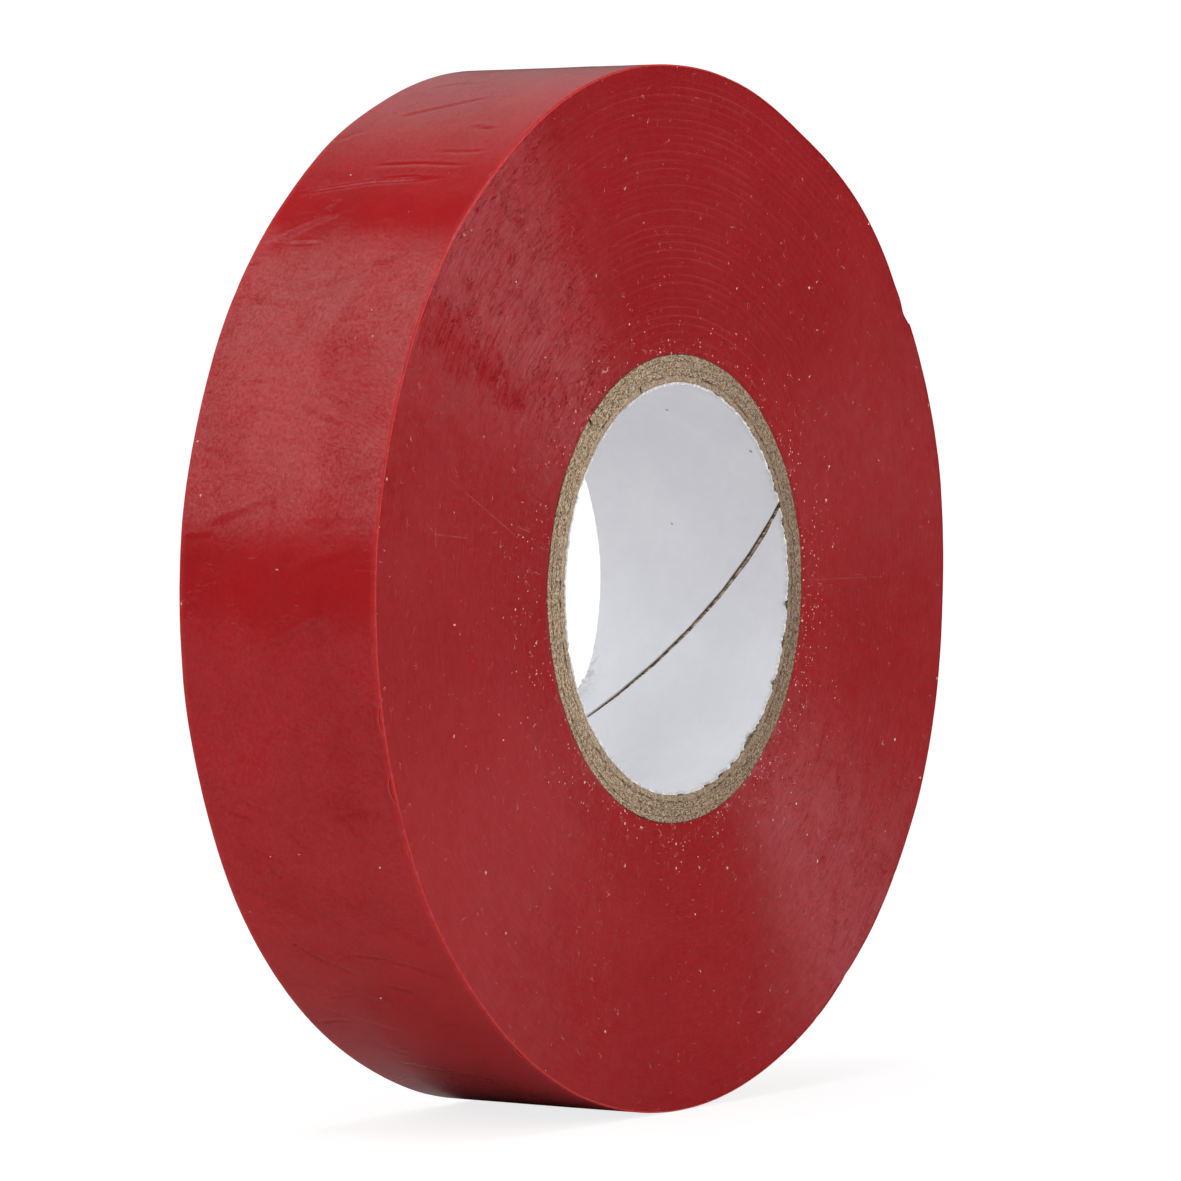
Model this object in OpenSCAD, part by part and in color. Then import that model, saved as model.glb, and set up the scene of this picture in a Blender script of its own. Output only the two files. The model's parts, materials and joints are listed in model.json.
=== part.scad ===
// Roll of electrical insulating tape standing on its edge.
// A spirally wound paperboard core (one white liner ply and four chipboard
// plies) carries a single strip of PVC tape. The last turn is separate, and
// the loose end of the strip is cut into short hinged lengths so it can peel.
// Millimetres and degrees. Origin: centre of the bore, half way across the width.
// +Y runs along the bore, +Z is up, the front face looks towards -Y.
// Angles are measured on the front face from +X towards +Z.

/* [Roll] */
// Width of the tape, which is also the length of the core
tape_w = 19; // [12:0.5:25]
// Outside diameter of the wound roll
roll_d = 86.4; // [60:0.1:130]
// Outside diameter of the core, where the first turn of tape is bonded
core_od = 38.7; // [36:0.1:50]
// Diameter of the bore inside the white liner
core_id = 33.7; // [25:0.1:34]

/* [Tape] */
// Thickness of the tape, film and adhesive together
tape_t = 0.13; // [0.1:0.01:0.2]
// Radius gained by each turn, the tape plus the slack left by winding
turn_pitch = 0.14; // [0.12:0.01:0.25]
// Angle of the free end of the strip
end_angle = 31; // [0:1:360]
// Arc of the loose end, from the peel line to the free end
tail_arc = 48; // [16:1:120]

/* [Core] */
// Thickness of the white liner ply
liner_t = 0.2; // [0.1:0.05:0.4]
// Glue line between two neighbouring layers
glue_t = 0.02; // [0.01:0.01:0.05]
// Butt gap left between the edges of a spirally wound ply, across the gap
seam_gap = 0.35; // [0.2:0.05:0.8]
// Distance along the bore in which a seam makes one full turn
seam_lead = 92; // [70:1:200]
// Angle of the white liner's seam on the front face
liner_seam = 23.3; // [0:0.1:360]
// Angle of the innermost chipboard ply's seam on the front face
ply_1_seam = 109.4; // [0:0.1:360]
// Angle of the second chipboard ply's seam on the front face
ply_2_seam = 262; // [0:0.1:360]
// Angle of the third chipboard ply's seam on the front face
ply_3_seam = 190.3; // [0:0.1:360]
// Angle of the outermost chipboard ply's seam on the front face
ply_4_seam = 133.6; // [0:0.1:360]

/* [Hidden] */

roll_r = roll_d / 2;
core_r = core_od / 2;
bore_r = core_id / 2;

// Seams of the chipboard plies, innermost first
ply_seams = [ply_1_seam, ply_2_seam, ply_3_seam, ply_4_seam];
ply_count = len(ply_seams);
// Thickness of one chipboard ply: what the liner and the glue lines leave
ply_t = (core_r - bore_r - liner_t - ply_count * glue_t) / ply_count;
// Angle a seam turns through in half the width
seam_half_turn = 360 / seam_lead * tape_w / 2;

// The two halves of each turn are true cylinders whose centres lie half a
// pitch apart, so one whole turn moves the surface in by turn_pitch
half_pitch = turn_pitch / 2;
// Arc of one hinged length, with the hairline (also an arc) that parts it
// from the next
tail_count = 8;
tail_step = tail_arc / tail_count;
hairline = 0.02;

// How far a cutter runs past the surface it cuts
overcut = 1;
$fn = 360;

// ---- Shared shapes ----

// Stands a shape drawn on the local XY plane up on its edge, so local +X and
// +Y become +X and +Z, and centres it across the width. Local +Z is the front.
module across() {
    rotate([90, 0, 0])
        translate([0, 0, -tape_w / 2])
            children();
}

// Gives a flat outline the full width of the tape
module full_width() {
    across()
        linear_extrude(height = tape_w)
            children();
}

// Flat sector between two angles, wider than the roll
module sector(from, to) {
    reach = 2 * roll_r;
    steps = ceil((to - from) / 30);
    polygon(concat([[0, 0]],
        [for (i = [0:steps])
            let (angle = from + (to - from) * i / steps)
                [reach * cos(angle), reach * sin(angle)]]));
}

// Outline of the wound tape, its radius stepping by one pitch at the free end
module wound_outline(radius) {
    rotate(end_angle) {
        intersection() {
            circle(radius);
            translate([-2 * radius, -2 * radius])
                square([4 * radius, 2 * radius]);
        }
        translate([-half_pitch, 0])
            intersection() {
                circle(radius - half_pitch);
                translate([-2 * radius, 0])
                    square([4 * radius, 2 * radius]);
            }
    }
}

// ---- Core ----

// Cutter for the butt gap of a spirally wound ply between two radii.
// The seam turns through only part of a circle over the width, so a flat
// slanting saw cut that meets both ends at the seam's angles stands in for it.
module seam_cutter(inner_r, outer_r, front_angle) {
    mean_r = (inner_r + outer_r) / 2;
    slant = atan(mean_r * sin(seam_half_turn) / (tape_w / 2));
    translate([0, 0, tape_w / 2])
        rotate(front_angle - seam_half_turn)
            rotate([-slant, 0, 0])
                translate([0, -seam_gap / 2, -2 * tape_w])
                    cube([outer_r + overcut, seam_gap, 4 * tape_w]);
}

// One spirally wound layer of the core
module core_layer(inner_r, thickness, front_angle) {
    outer_r = inner_r + thickness;
    across()
        difference() {
            cylinder(h = tape_w, r = outer_r);
            translate([0, 0, -overcut])
                cylinder(h = tape_w + 2 * overcut, r = inner_r);
            seam_cutter(inner_r, outer_r, front_angle);
        }
}

module core_liner() {
    color("whitesmoke")
        core_layer(bore_r, liner_t, liner_seam);
}

// One chipboard ply, number 1 innermost
module chip_ply(number) {
    inner_r = bore_r + liner_t + glue_t + (number - 1) * (ply_t + glue_t);
    color([0.60, 0.50, 0.40])
        core_layer(inner_r, ply_t, ply_seams[number - 1]);
}

module core_ply_1() { chip_ply(1); }
module core_ply_2() { chip_ply(2); }
module core_ply_3() { chip_ply(3); }
module core_ply_4() { chip_ply(4); }

// ---- Tape ----

// All the turns below the last one, wound tight enough to be one mass
module tape_pack() {
    color([0.58, 0.13, 0.14])
        full_width()
            difference() {
                wound_outline(roll_r - turn_pitch);
                circle(core_r + glue_t);
            }
}

// Last turn, from just past the free end on round to the peel line
module tape_outer_wrap() {
    peel_angle = end_angle + 360 - tail_arc;
    color([0.70, 0.16, 0.17])
        full_width()
            difference() {
                intersection() {
                    wound_outline(roll_r);
                    sector(end_angle + hairline, peel_angle - hairline);
                }
                wound_outline(roll_r - tape_t);
            }
}

// One hinged length of the loose end, number 1 at the peel line
module tail(number) {
    start = end_angle - tail_arc + (number - 1) * tail_step;
    color([0.76, 0.20, 0.21])
        full_width()
            intersection() {
                difference() {
                    circle(roll_r);
                    circle(roll_r - tape_t);
                }
                sector(start, start + tail_step - hairline);
            }
}

module tape_tail_1() { tail(1); }
module tape_tail_2() { tail(2); }
module tape_tail_3() { tail(3); }
module tape_tail_4() { tail(4); }
module tape_tail_5() { tail(5); }
module tape_tail_6() { tail(6); }
module tape_tail_7() { tail(7); }
module tape_tail_8() { tail(8); }

core_liner();
core_ply_1();
core_ply_2();
core_ply_3();
core_ply_4();
tape_pack();
tape_outer_wrap();
tape_tail_1();
tape_tail_2();
tape_tail_3();
tape_tail_4();
tape_tail_5();
tape_tail_6();
tape_tail_7();
tape_tail_8();
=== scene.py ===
"""A roll of red PVC tape on a chipboard core, standing on its rim.

The roll's axis is Y and its centre the origin; the front slit side faces -Y and +Z is up.
Angles are degrees round the axis, from +X (0) toward +Z (90). Shapes are worked out in
millimetres and written to the meshes in metres; lights and camera are placed in metres.
"""
import json
import math

import bpy
import numpy as np
from mathutils import Matrix, Vector


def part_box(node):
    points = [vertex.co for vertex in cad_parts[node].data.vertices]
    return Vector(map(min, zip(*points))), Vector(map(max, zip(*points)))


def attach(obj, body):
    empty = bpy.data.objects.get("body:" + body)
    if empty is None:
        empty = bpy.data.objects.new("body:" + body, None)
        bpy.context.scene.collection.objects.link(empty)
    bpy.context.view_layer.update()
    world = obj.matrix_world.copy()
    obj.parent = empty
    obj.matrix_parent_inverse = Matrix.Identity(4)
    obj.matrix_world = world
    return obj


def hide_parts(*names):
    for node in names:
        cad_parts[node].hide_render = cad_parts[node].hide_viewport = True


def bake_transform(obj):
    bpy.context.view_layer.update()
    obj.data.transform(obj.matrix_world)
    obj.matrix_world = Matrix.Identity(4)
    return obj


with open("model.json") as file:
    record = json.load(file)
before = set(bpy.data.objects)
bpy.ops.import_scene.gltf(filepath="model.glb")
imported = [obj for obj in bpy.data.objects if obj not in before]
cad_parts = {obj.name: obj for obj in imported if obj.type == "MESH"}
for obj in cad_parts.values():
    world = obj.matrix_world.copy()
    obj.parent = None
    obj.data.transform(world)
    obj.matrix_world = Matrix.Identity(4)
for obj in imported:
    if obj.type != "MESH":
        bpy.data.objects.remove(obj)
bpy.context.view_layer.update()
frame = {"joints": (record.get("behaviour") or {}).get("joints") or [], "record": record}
MM = 0.001

# ---------------------------------------------------------------- sizes from the CAD, mm
pack_lo, pack_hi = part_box("tape_pack")
WIDTH = (pack_hi.y - pack_lo.y) / MM
HALF_W = WIDTH / 2
ROLL_R = round(-min(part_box("tape_outer_wrap")[0].z, pack_lo.z) / MM, 3)
CORE_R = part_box("core_ply_4")[1].z / MM
LINER_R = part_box("core_liner")[1].z / MM
BORE_R = next(m for m in frame["record"]["mounts"] if m["name"] == "core_bore")["dims"]["r_mm"]
PLY_R = [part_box("core_ply_%d" % i)[1].z / MM for i in range(1, 5)]    # outside of each ply
PLY_T = (CORE_R - LINER_R) / 4 - 0.02
TAPE_T = 0.13
PITCH = 0.14                               # radial distance from turn to turn
CORNER = 0.17                              # rounding between the outside and a slit side
PACK_IN_R = CORE_R + .02
SPAN = ROLL_R - PITCH - PACK_IN_R          # radial depth of the turns below the last one

HINGES = frame["joints"]
HINGE_DEG = [math.degrees(math.atan2(j["pos_m"][2], j["pos_m"][0])) for j in HINGES]
TAIL_STEP = HINGE_DEG[1] - HINGE_DEG[0]
END_DEG = HINGE_DEG[-1] + TAIL_STEP        # free end of the strip
PEEL_DEG = HINGE_DEG[0]                    # peel line


# ---------------------------------------------------------------- noise and small maths
def quintic(t):
    return t * t * t * (t * (t * 6 - 15) + 10)


def value_noise(u, v, seed, period=256):
    """Smooth noise in -1..1 on a lattice of unit cells that repeats after `period` cells of u."""
    rows = 256
    grid = np.random.default_rng(seed).random((period, rows)) * 2 - 1
    floor_u, floor_v = np.floor(u), np.floor(v)
    mix_u, mix_v = quintic(u - floor_u), quintic(v - floor_v)
    i0 = floor_u.astype(int) % period
    j0 = floor_v.astype(int) % rows
    i1, j1 = (i0 + 1) % period, (j0 + 1) % rows
    return (grid[i0, j0] * (1 - mix_u) * (1 - mix_v) + grid[i1, j0] * mix_u * (1 - mix_v)
            + grid[i0, j1] * (1 - mix_u) * mix_v + grid[i1, j1] * mix_u * mix_v)


def ring_noise(theta, v, cells, seed, octaves=1, falloff=2.0):
    """Noise round the roll: theta in degrees, `cells` whole cells a turn, v in cells."""
    total, amp, amp_sum = 0, 1.0, 0.0
    for o in range(octaves):
        count = int(cells * 2 ** o)
        turns = (theta % 360) / 360 * count
        total = total + amp * value_noise(turns, v * 2 ** o, seed + 17 * o, count)
        amp_sum += amp
        amp /= falloff
    return total / amp_sum


def smooth(x, low, high):
    t = np.clip((x - low) / (high - low), 0, 1)
    return t * t * (3 - 2 * t)


def wrap180(degrees):
    return (degrees + 180) % 360 - 180


def bell(offset, width):
    return np.exp(-(offset / width) ** 2)


def arc_mm(degrees, radius):
    return degrees * math.radians(1) * radius


def polar(theta, radius, y):
    angle = np.radians(theta)
    return np.stack([radius * np.cos(angle), y, radius * np.sin(angle)], -1)


def on_side(theta, radius):
    """x and z of a point on a slit side."""
    return radius * math.cos(math.radians(theta)), radius * math.sin(math.radians(theta))


def to_segment(x, y, start, end):
    """Distance to a segment, share along it of the nearest point, and the side (-1 or 1)."""
    run_x, run_y = end[0] - start[0], end[1] - start[1]
    rel_x, rel_y = x - start[0], y - start[1]
    share = np.clip((rel_x * run_x + rel_y * run_y) / (run_x * run_x + run_y * run_y), 0, 1)
    gap = np.hypot(rel_x - share * run_x, rel_y - share * run_y)
    return gap, share, np.sign(rel_x * run_y - rel_y * run_x)


def corner_drop(inset):
    """Fall of a rounded corner at a distance in from its rim, mm."""
    depth = np.clip(CORNER - inset, 0, CORNER)
    return CORNER - np.sqrt(np.maximum(CORNER ** 2 - depth ** 2, 0))


# ---------------------------------------------------------------- shape of the wound tape
# Slow swells and flats of the rims: (angle in degrees, height in mm)
FRONT_KNOTS = [
    (98, .16), (90, .02), (85, 0), (75, -.15), (70, -.32), (64, -.5), (60, -.38), (55, -.12),
    (50, .08), (45, .2), (40, .1), (36, -.15), (30, 0), (25, .05), (18, .12), (12, .1),
    (7, -.07), (2, -.2), (-1, -.3), (-5, -.28), (-10, -.16), (-15, -.07), (-23, .12),
    (-27, .17), (-33, .08), (-45, .1), (-52, -.06), (-58, .06), (-70, -.03), (-80, 0),
    (-90, 0), (-98, 0), (112, .14), (124, -.06), (131, -.1), (139, .1), (150, .08),
    (165, .02), (171, .1), (180, .05), (190, 0), (203, -.05), (213, .1), (227, -.08),
    (240, -.02), (249, .06), (256, 0)]
BACK_KNOTS = [
    (101, 0), (113, -.17), (122, 0), (131, -.14), (138, -.05), (149, .07), (160, -.07),
    (172, .08), (182, -.03), (189, .04), (203, -.1), (214, .12), (225, .08), (234, .02),
    (247, -.15), (256, -.05), (270, 0), (290, .05), (310, -.08), (330, .06), (350, -.1),
    (10, .08), (30, -.04), (50, .1), (70, -.06), (86, .03)]


def periodic_curve(knots, sigma):
    """Angles and values every quarter degree: the knots joined, then blurred by sigma degrees."""
    step = 0.25
    knot_deg, knot_val = np.array(sorted((a % 360, b) for a, b in knots), float).T
    degrees = np.arange(0, 360, step)
    values = np.interp(degrees, knot_deg, knot_val, period=360)
    reach = int(4 * sigma / step)
    kernel = np.exp(-0.5 * (np.arange(-reach, reach + 1) * step / sigma) ** 2)
    kernel /= kernel.sum()
    padded = np.concatenate([values[-reach:], values, values[:reach]])
    return degrees, np.convolve(padded, kernel, mode="valid")


FRONT_SWELL = periodic_curve(FRONT_KNOTS, sigma=1.8)
BACK_SWELL = periodic_curve(BACK_KNOTS, sigma=2.4)


def swell(theta, y):
    """Slow departure of the wound surface from its true cylinder, mm."""
    front = np.interp(theta % 360, *FRONT_SWELL, period=360)
    back = np.interp(theta % 360, *BACK_SWELL, period=360)
    share = smooth(y, -HALF_W, HALF_W)
    out = front * (1 - share) + back * share
    # two notches in the front rim: one at 32.5 degrees, a smaller one low on the +X side
    out = out - 0.26 * bell(wrap180(theta - 32.5), 1.1) * bell(y + HALF_W, 5.0)
    return out - 0.08 * bell(wrap180(theta + 52), 0.8) * bell(y + HALF_W, 3.0)


def spiral(theta):
    """Outside of the last turn: the half turn past the free end is centred half a pitch off."""
    behind_end = (theta - END_DEG) % 360 - 360         # -360..0, the free end at 0
    shift = PITCH / 2
    cos, sin = np.cos(np.radians(behind_end)), np.sin(np.radians(behind_end))
    off_centre = -shift * cos + np.sqrt((ROLL_R - shift) ** 2 - (shift * sin) ** 2)
    return np.where(behind_end < -180, off_centre, ROLL_R)


# Folds pressed into the last turn:
# points (angle in degrees, y in mm), half-width mm, depth mm, step between the two sides mm
CREASES = [
    ([(139.8, 8.5), (137.1, 5.7), (134.6, 2.7)], .22, .03, .07),
    ([(139.3, 6.4), (139.3, 4.7), (139.3, 3.2)], .2, .022, .01),
    ([(127.0, 3.2), (126.8, -1.6), (127.4, -6.7)], .25, .03, -.02),
    ([(131.9, 9.0), (130.1, 2.2), (129.6, -5.0)], .22, .034, .018),
    ([(129.6, 2.1), (129.1, -1.4), (129.6, -5.0)], .18, .018, 0),
    ([(117.0, 5.7), (114.5, 2.5), (110.9, -2.4)], .3, .034, .024),
    ([(119.1, -3.1), (120.0, -4.6), (120.2, -6.1)], .3, .03, .018),
    ([(124.5, -2.0), (124.8, -4.7), (124.7, -7.5)], .25, .02, -.012),
    ([(146.3, 5.2), (145.0, .8), (143.8, -3.1)], .3, .018, .012),
    ([(140.6, .8), (139.3, .6), (138.1, .5)], .2, .016, .006),
    ([(142.6, -2.7), (141.6, -3.8), (141.5, -5.5)], .45, .022, .01),
    ([(142.2, 9.4), (141.8, 8.7), (141.4, 8.0)], .25, .045, 0),
    ([(149.3, -1.3), (149.4, -2.8), (149.3, -4.4)], .4, .014, 0),
    ([(107.8, 6.7), (105.5, 4.5), (106.7, .8)], .4, .026, .01),
    ([(119.4, 6.9), (121.3, 8.4), (122.2, 9.1)], .35, .03, 0),
    ([(157.5, -1.7), (158.4, -3.1), (159.3, -4.9)], .2, .024, .01),
    ([(158.8, .2), (160.7, -2.6), (161.5, -5.2)], .24, .022, .012),
    ([(162.2, 5.3), (163.1, 1.6), (163.9, -3.2)], .3, .008, .012),
    ([(163.8, 9.2), (164.6, 6.6), (166.1, 4.6)], .3, .022, .012),
    ([(172.6, 7.4), (171.0, 4.2), (168.6, -1.0)], .3, .01, .022),
    ([(173.6, 9.5), (173.5, 8.0), (173.2, 6.0)], .26, .014, .012),
    ([(171.7, -.9), (171.7, -5.1), (171.4, -9.0)], .32, .006, .012),
    ([(178.0, -.8), (176.0, -3.9), (175.1, -7.4)], .4, .026, .018),
    ([(167.6, -5.8), (166.9, -7.9), (165.8, -9.3)], .35, .018, .018),
    ([(151.9, 6.9), (153.0, 6.2), (153.9, 5.7)], .22, .018, 0),
    ([(154.1, 1.3), (154.7, .9), (155.2, .8)], .22, .022, 0),
    ([(152.8, 3.7), (153.9, 2.7), (153.0, 2.2)], .25, .014, 0),
    ([(187.0, 5.9), (185.2, 2.2), (183.6, -1.5), (182.0, -3.8), (181.1, -4.7)], .28, .02, .062),
    ([(190.2, 2.2), (191.8, 2.4), (193.7, 2.5)], .22, .014, .006),
    ([(191.7, -1.3), (193.3, -1.2), (195.0, -1.1)], .22, .016, .008),
    ([(189.8, -7.2), (191.0, -7.4), (192.2, -7.6)], .22, .014, 0),
    ([(201.3, 6.2), (201.8, 5.3), (202.4, 4.5)], .25, .02, .008),
    ([(202.8, 7.6), (203.4, 6.1), (204.1, 4.5)], .25, .022, .01),
    ([(204.7, 2.0), (206.6, 1.0), (207.6, 0.0)], .25, .022, .012),
    ([(203.3, -2.0), (202.7, -4.7), (201.7, -6.7)], .4, .016, .012),
    ([(195.4, 8.3), (193.9, 7.2), (192.8, 6.6)], .25, .016, 0),
    ([(209.5, 4.8), (210.2, 4.4), (210.9, 4.0)], .25, .026, 0),
    ([(218.7, 6.6), (221.7, 3.9), (224.8, .1)], .26, .034, .026),
    ([(220.9, .8), (221.2, -2.8), (224.5, -8.9)], .24, .034, .024),
    ([(213.9, 2.5), (215.6, .8), (217.1, -.9)], .25, .02, .012),
    ([(225.5, -1.2), (226.2, -2.6), (227.0, -3.9)], .35, .03, .016),
    ([(228.4, 5.3), (227.9, 3.6), (227.5, 2.0)], .25, .018, .01),
    ([(233.6, 8.5), (232.9, 6.8), (232.7, 5.0)], .35, .026, .012),
    ([(235.8, 5.1), (238.5, 3.8), (240.8, 1.9)], .35, .024, .012),
    ([(227.4, -6.6), (227.0, -7.0), (226.6, -7.3)], .18, .03, 0),
    ([(196.9, .44), (198.2, .41), (199.5, .42)], .08, .02, 0),
    ([(203.5, 9.3), (206.8, 6.4), (209.6, 2.2)], .34, .01, .012),
    ([(205.8, 9.4), (209.0, 5.2), (212.2, .4), (215.8, -4.6)], .34, .008, .014),
    ([(211.2, 8.8), (214.0, 5.0), (216.8, 1.2)], .38, .01, -.012),
    ([(199.4, 8.6), (201.9, 5.2), (203.7, 2.8)], .34, .008, .01),
    ([(229.6, 8.2), (232.5, 4.0), (236.6, -2.2)], .36, .012, .014),
    ([(224.2, 6.8), (227.8, 1.6), (231.5, -3.6), (233.9, -8.0)], .34, .012, .014),
    ([(214.2, -3.0), (216.7, -5.4), (219.9, -8.6)], .28, .016, .012),
    ([(241.8, 6.6), (244.0, 1.5), (247.2, -5.0)], .34, .022, .012),
    ([(191.8, 7.2), (193.0, 5.6), (194.6, 4.6)], .26, .012, .008),
    ([(135.4, 8.8), (134.7, 4.6), (134.9, .2)], .34, .006, .006),
    ([(143.6, 9.0), (144.9, 5.2), (145.4, 2.4)], .24, .016, -.01),
    ([(147.7, 8.6), (147.1, 3.8), (148.8, -1.8)], .26, .012, .01),
    ([(155.9, 9.0), (156.7, 4.8), (156.2, 1.6)], .26, .014, .01),
    ([(160.2, 8.4), (159.4, 4.2), (160.6, -.6)], .26, .012, -.01),
    ([(167.6, 8.0), (166.8, 3.2), (167.9, -1.0)], .28, .01, .01),
]


def drawn_creases(count=64, seed=4107):
    """Creases of the same kind for the rest of the roll, laid by a seeded draw."""
    rng = np.random.default_rng(seed)
    rows = []
    for _ in range(count):
        start = rng.uniform(-118, 100)
        y = rng.uniform(-8.5, 8.5)
        run = rng.uniform(1.5, 8.0) * rng.choice([-1, 1])
        lean = rng.normal(0, 3.2)
        bow = rng.normal(0, .5)
        points = [(start, y),
                  (start + lean / 2 + bow, np.clip(y + run / 2, -9.4, 9.4)),
                  (start + lean, np.clip(y + run, -9.4, 9.4))]
        rows.append((points, rng.uniform(.18, .4), rng.uniform(.012, .036), rng.normal(0, .014)))
    return rows


CREASES += drawn_creases()


def creases(theta, y):
    """Height of the folds over the last turn, mm, and a mask of their valleys."""
    height = np.zeros_like(theta)
    valley = np.zeros_like(theta)
    for points, half, depth, step in CREASES:
        first = min(p[0] for p in points) - 4
        last = max(p[0] for p in points) + 4
        mid = (first + last) / 2
        near = np.abs(wrap180(theta - mid)) < (last - first) / 2 + 1
        if not near.any():
            continue
        arc = arc_mm(wrap180(theta[near] - mid), ROLL_R)
        flat = [(arc_mm(angle - mid, ROLL_R), at) for angle, at in points]
        dist = np.full(arc.shape, 1e9)
        side = np.zeros(arc.shape)
        along = np.zeros(arc.shape)
        count = len(flat) - 1
        for k in range(count):
            gap, share, hand = to_segment(arc, y[near], flat[k], flat[k + 1])
            closer = gap < dist
            dist = np.where(closer, gap, dist)
            side = np.where(closer, hand, side)
            along = np.where(closer, (k + share) / count, along)
        # creases are narrower than listed and shallower around 170-184; their valleys get painted
        # shade, darker around 203-246 and lighter below 138 degrees
        half = max(half * .78, .135)
        place = mid % 360
        depth = depth * (1.45 - .85 * (smooth(place, 163, 170) * (1 - smooth(place, 184, 190))))
        dark = 1 + .75 * (smooth(place, 196, 203) * (1 - smooth(place, 246, 254)))
        dark = dark - .45 * (1 - smooth(place, 138, 144))
        fade = smooth(np.sin(np.pi * np.clip(along, 0.0, 1.0)), .0, .75)
        groove = (-depth * bell(dist, half)
                  + 0.45 * depth * bell(dist - 1.9 * half, 1.1 * half) * (side > 0))
        reach = 1.6 if abs(step) < .05 else 2.4
        lift = step * side * (1 - bell(dist, half)) * np.exp(-dist / reach)
        height[near] += (groove + lift) * fade
        mark = min(1.0, depth / .045) * dark * fade * bell(dist, half * .9)
        valley[near] = np.maximum(valley[near], mark)
    return height, valley


def film_relief(theta, y):
    """Everything on the last turn that is finer than the swell, mm."""
    return (creases(theta, y)[0]
            + 0.016 * ring_noise(theta, y / 9.0 + 3.3, cells=26, seed=11, octaves=2)
            + 0.007 * ring_noise(theta, y / 3.2 + 9.1, cells=90, seed=23, octaves=2)
            # soft hand marks, a millimetre or two across
            + 0.0045 * ring_noise(theta, y / 1.9 + 21, cells=150, seed=29, octaves=2)
            # faint lengthwise lines left by calendering
            + 0.0022 * ring_noise(theta, y * 3.1 + 40, cells=12, seed=41, octaves=2))


# Dull smears on the last turn: angle, y in mm, half-length in degrees, half-width in mm, strength
SMEARS = [
    (142.3, -4.0, 1.3, 1.5, .75), (141.2, -5.2, .7, .8, .5), (152.4, -3.1, 3.4, 3.0, .85),
    (150.0, 1.9, 1.5, 1.2, .6), (156.5, -2.4, 2.2, 1.0, .5), (160.8, -6.3, 3.0, 2.2, .45),
    (171.6, .75, 4.5, .22, .5), (131.5, 4.5, 1.0, 2.5, .4), (145.2, -7.6, 1.2, 1.0, .4),
    (166.2, 4.6, 2.0, 1.6, .35), (173.0, -5.5, 2.0, 1.8, .35), (146.5, 7.2, 1.5, 1.3, .45),
    (201.0, -4.6, 4.2, 3.0, .50), (197.5, 4.5, 2.6, 1.6, .25), (213.5, -2.0, 1.8, 2.6, .4),
    (221.0, 2.6, 1.4, 3.0, .35), (208.5, 5.5, 2.0, 1.8, .35)]


def film_marks(theta, y):
    """Ripple phase, ripple strength and dullness over the last turn, stacked."""
    phase = theta + .62 * y
    fan = bell(wrap180(phase - 153.6), 4.4) * smooth(y, -2.0, -5.0)
    fan = fan * (1 - .6 * smooth(y, -8.2, -9.4))
    fan = fan + (.55 * bell(wrap180(phase - 153.0), 1.6)
                 * smooth(y, 1.0, .0) * smooth(y, -3.5, -1.5))
    fan = fan + .45 * bell(wrap180(theta + 20), 14) * smooth(y, -3, -6)
    dull = np.zeros_like(theta)
    wobble = .80 * ring_noise(theta, y / 2.2, cells=120, seed=63, octaves=4, falloff=1.5)
    for angle, at, half_deg, half_y, strength in SMEARS:
        dist = np.sqrt((wrap180(theta - angle) / half_deg) ** 2 + ((y - at) / half_y) ** 2) + wobble
        dull = np.maximum(dull, strength * (1 - smooth(dist, .25, 1.35)))
    cloud = ring_noise(theta, y / 5.0 + 4, cells=22, seed=67, octaves=3)
    dull = np.maximum(dull, .45 * smooth(cloud, .28, .62))
    return np.stack([phase, np.maximum(fan, 0), dull], -1)


# ---------------------------------------------------------------- mesh helpers
def build(name, verts, faces, attrs, materials, sharp_deg):
    """A smooth-shaded object from mm vertices; attrs are per vertex, with one or three numbers."""
    mesh = bpy.data.meshes.new(name)
    mesh.from_pydata((verts * MM).tolist(), [], faces)
    mesh.update()
    mesh.polygons.foreach_set("use_smooth", np.ones(len(mesh.polygons), bool))
    for key, values in {"rest": verts, **attrs}.items():
        values = np.asarray(values, np.float32)
        if values.size == 3 * len(verts):
            layer = mesh.attributes.new(key, "FLOAT_VECTOR", "POINT")
            layer.data.foreach_set("vector", values.ravel())
        else:
            layer = mesh.attributes.new(key, "FLOAT", "POINT")
            layer.data.foreach_set("value", values.ravel())
    for material in materials:
        mesh.materials.append(material)
    mesh.set_sharp_from_angle(angle=math.radians(sharp_deg))
    ob = bpy.data.objects.new(name, mesh)
    bpy.context.scene.collection.objects.link(ob)
    return ob


def loop_faces(stations, loop_len, closed):
    """Quads of a tube: a closed loop of loop_len points at each station."""
    i = np.arange(stations if closed else stations - 1)
    i, j = np.meshgrid(i, np.arange(loop_len), indexing="ij")
    i_next, j_next = (i + 1) % stations, (j + 1) % loop_len
    return np.stack([i * loop_len + j, i_next * loop_len + j, i_next * loop_len + j_next,
                     i * loop_len + j_next], -1).reshape(-1, 4)


def use_second_material(ob, columns, stations):
    """Give a tube's faces their second material where `columns`, one flag a loop point, is set."""
    index = np.zeros(len(ob.data.polygons), np.int32)
    index[:stations * len(columns)] = np.tile(columns, stations)
    ob.data.polygons.foreach_set("material_index", index)


def fit(ob, part):
    """Tie a piece that turns with the roll to its CAD part."""
    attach(ob, "roll")
    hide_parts(part)


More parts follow.
